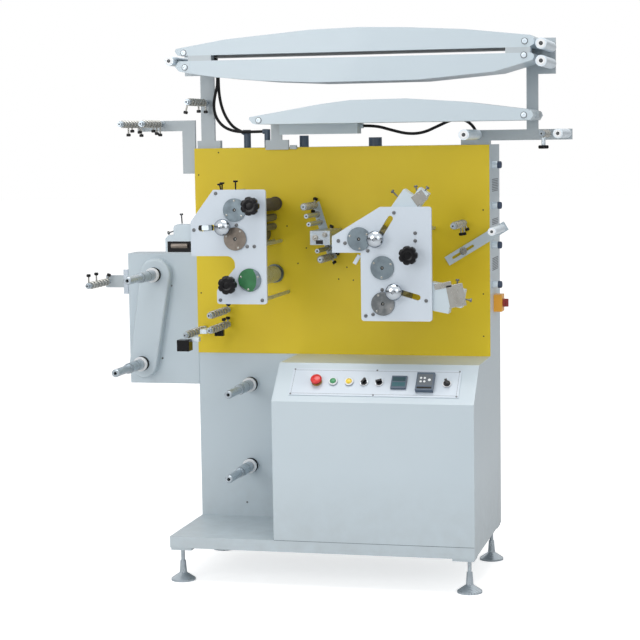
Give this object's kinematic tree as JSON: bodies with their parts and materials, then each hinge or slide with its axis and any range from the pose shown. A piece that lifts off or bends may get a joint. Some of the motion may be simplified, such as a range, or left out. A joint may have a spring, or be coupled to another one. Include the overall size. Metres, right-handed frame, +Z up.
{
  "type": "flexographic printing press",
  "caption": "Label printing press: a cabinet on a low base carries printing units on a yellow panel, reel spindles, dryers on posts and a sloping control console.",
  "frame": {"origin": "middle of the whole outline, at floor level", "axes": "+X to the right seen from the front, +Y from the front to the back, +Z up"},
  "size_m": [1.759, 0.675, 1.96],
  "materials": {
    "pale_paint": "satin powder coat, pale blue-grey",
    "white_paint": "satin powder coat, near white",
    "yellow_paint": "satin powder coat, yellow",
    "zinc_steel": "zinc-plated steel, turned",
    "roller_metal": "anodised, satin",
    "bright_chrome": "polished",
    "black_plastic": "moulded, glossy",
    "grey_plastic": "moulded, matt",
    "cable_black": "smooth cable sheath",
    "dark_rubber": "ground rubber sleeve",
    "red_plastic": "moulded, glossy",
    "green_plastic": "moulded, glossy",
    "amber_plastic": "moulded, glossy",
    "orange_plastic": "moulded, glossy"
  },
  "bodies": {
    "press": {"base_tray": "pale_paint", "bearing_covers": "zinc_steel", "belt_cover": "pale_paint", "chrome_caps": "bright_chrome", "column_cabinet": "pale_paint", "console_cabinet": "pale_paint", "control_plate": "white_paint", "dryer_blocks": "pale_paint", "front_dryer_cable": "cable_black", "front_panel": "yellow_paint", "guide_arms": "pale_paint", "idler_bar": "pale_paint", "idler_rods": "zinc_steel", "lamp_box": "pale_paint", "lamp_cable": "cable_black", "left_ink_box": "pale_paint", "left_ink_tray": "black_plastic", "left_post": "pale_paint", "left_unit_plate": "white_paint", "levelling_feet": "zinc_steel", "lower_dryer": "pale_paint", "main_switch_box": "orange_plastic", "middle_dryer": "pale_paint", "panel_instruments": "black_plastic", "rear_dryer_cable": "cable_black", "right_ink_boxes": "pale_paint", "right_post": "pale_paint", "right_unit_plate": "white_paint", "roof_glands": "grey_plastic", "side_fittings": "grey_plastic", "slotted_arm": "pale_paint", "switch_bezels": "bright_chrome", "tie_rods": "zinc_steel", "unit_rollers": "zinc_steel", "unwind_housing": "pale_paint", "upper_dryer": "pale_paint", "web_guides": "zinc_steel"},
    "upper_unwind_spindle": {"upper_unwind_spindle": "zinc_steel"},
    "lower_unwind_spindle": {"lower_unwind_spindle": "zinc_steel"},
    "upper_rewind_spindle": {"upper_rewind_spindle": "zinc_steel"},
    "lower_rewind_spindle": {"lower_rewind_spindle": "zinc_steel"},
    "left_top_roller": {"left_top_roller": "roller_metal"},
    "right_high_roller": {"right_high_roller": "roller_metal"},
    "right_low_roller": {"right_low_roller": "roller_metal"},
    "bar_left_roller": {"bar_left_roller": "roller_metal"},
    "bar_right_roller": {"bar_right_roller": "roller_metal"},
    "rubber_roller": {"rubber_roller": "dark_rubber"},
    "lower_roller": {"lower_roller": "zinc_steel"},
    "arm_roller": {"arm_roller": "roller_metal"},
    "left_upper_knob": {"left_upper_knob": "black_plastic"},
    "left_lower_knob": {"left_lower_knob": "black_plastic"},
    "right_knob": {"right_knob": "black_plastic"},
    "main_switch_handle": {"main_switch_handle": "red_plastic"},
    "speed_dial": {"speed_dial": "black_plastic"},
    "selector_one": {"selector_one": "black_plastic"},
    "selector_two": {"selector_two": "black_plastic"},
    "emergency_stop": {"emergency_stop": "red_plastic"},
    "green_button": {"green_button": "green_plastic"},
    "yellow_button": {"yellow_button": "amber_plastic"}
  },
  "joints": [
    {"name": "upper_unwind_spindle_turn", "type": "hinge", "parent": "press", "child": "upper_unwind_spindle", "pos_m": [-0.6685, -0.0975, 1.082], "axis": [0, 1, 0], "continuous": true},
    {"name": "lower_unwind_spindle_turn", "type": "hinge", "parent": "press", "child": "lower_unwind_spindle", "pos_m": [-0.7225, -0.0975, 0.748], "axis": [0, 1, 0], "continuous": true},
    {"name": "upper_rewind_spindle_turn", "type": "hinge", "parent": "press", "child": "upper_rewind_spindle", "pos_m": [-0.3125, -0.0575, 0.672], "axis": [0, 1, 0], "continuous": true},
    {"name": "lower_rewind_spindle_turn", "type": "hinge", "parent": "press", "child": "lower_rewind_spindle", "pos_m": [-0.3165, -0.0575, 0.366], "axis": [0, 1, 0], "continuous": true},
    {"name": "left_top_roller_turn", "type": "hinge", "parent": "press", "child": "left_top_roller", "pos_m": [-0.5105, -0.0475, 1.859], "axis": [0, 1, 0], "continuous": true},
    {"name": "right_high_roller_turn", "type": "hinge", "parent": "press", "child": "right_high_roller", "pos_m": [0.8065, -0.0475, 1.887], "axis": [0, 1, 0], "continuous": true},
    {"name": "right_low_roller_turn", "type": "hinge", "parent": "press", "child": "right_low_roller", "pos_m": [0.8065, -0.0475, 1.829], "axis": [0, 1, 0], "continuous": true},
    {"name": "bar_left_roller_turn", "type": "hinge", "parent": "press", "child": "bar_left_roller", "pos_m": [0.5415, -0.0475, 1.584], "axis": [0, 1, 0], "continuous": true},
    {"name": "bar_right_roller_turn", "type": "hinge", "parent": "press", "child": "bar_right_roller", "pos_m": [0.8625, -0.0475, 1.584], "axis": [0, 1, 0], "continuous": true},
    {"name": "rubber_roller_turn", "type": "hinge", "parent": "press", "child": "rubber_roller", "pos_m": [-0.2045, -0.0875, 1.343], "axis": [0, 1, 0], "continuous": true},
    {"name": "lower_roller_turn", "type": "hinge", "parent": "press", "child": "lower_roller", "pos_m": [-0.2105, -0.0975, 1.086], "axis": [0, 1, 0], "continuous": true},
    {"name": "arm_roller_turn", "type": "hinge", "parent": "press", "child": "arm_roller", "pos_m": [0.63179, -0.0475, 1.25075], "axis": [0, 1, 0], "continuous": true},
    {"name": "left_upper_knob_turn", "type": "hinge", "parent": "press", "child": "left_upper_knob", "pos_m": [-0.1855, -0.3125, 1.349], "axis": [0, 1, 0], "continuous": true},
    {"name": "left_lower_knob_turn", "type": "hinge", "parent": "press", "child": "left_lower_knob", "pos_m": [-0.2725, -0.3125, 1.075], "axis": [0, 1, 0], "continuous": true},
    {"name": "right_knob_turn", "type": "hinge", "parent": "press", "child": "right_knob", "pos_m": [0.3695, -0.3125, 1.179], "axis": [0, 1, 0], "continuous": true},
    {"name": "main_switch_handle_turn", "type": "hinge", "parent": "press", "child": "main_switch_handle", "pos_m": [0.6265, 0.2075, 0.972], "axis": [1, 0, 0], "range_deg": [0, 90]},
    {"name": "speed_dial_turn", "type": "hinge", "parent": "press", "child": "speed_dial", "pos_m": [0.4845, -0.24114, 0.73127], "axis": [0, -0.7071, 0.7071], "range_deg": [-140, 140]},
    {"name": "selector_one_turn", "type": "hinge", "parent": "press", "child": "selector_one", "pos_m": [0.1915, -0.24114, 0.73127], "axis": [0, -0.7071, 0.7071], "range_deg": [-45, 45]},
    {"name": "selector_two_turn", "type": "hinge", "parent": "press", "child": "selector_two", "pos_m": [0.2455, -0.24114, 0.73127], "axis": [0, -0.7071, 0.7071], "range_deg": [-45, 45]},
    {"name": "emergency_stop_press", "type": "slide", "parent": "press", "child": "emergency_stop", "axis": [0, -0.7071, 0.7071], "range_m": [-0.004, 0]},
    {"name": "green_button_press", "type": "slide", "parent": "press", "child": "green_button", "axis": [0, -0.7071, 0.7071], "range_m": [-0.002, 0], "stiffness_N_per_m": 400, "springref_m": 0.001},
    {"name": "yellow_button_press", "type": "slide", "parent": "press", "child": "yellow_button", "axis": [0, -0.7071, 0.7071], "range_m": [-0.002, 0], "stiffness_N_per_m": 400, "springref_m": 0.001}
  ]
}
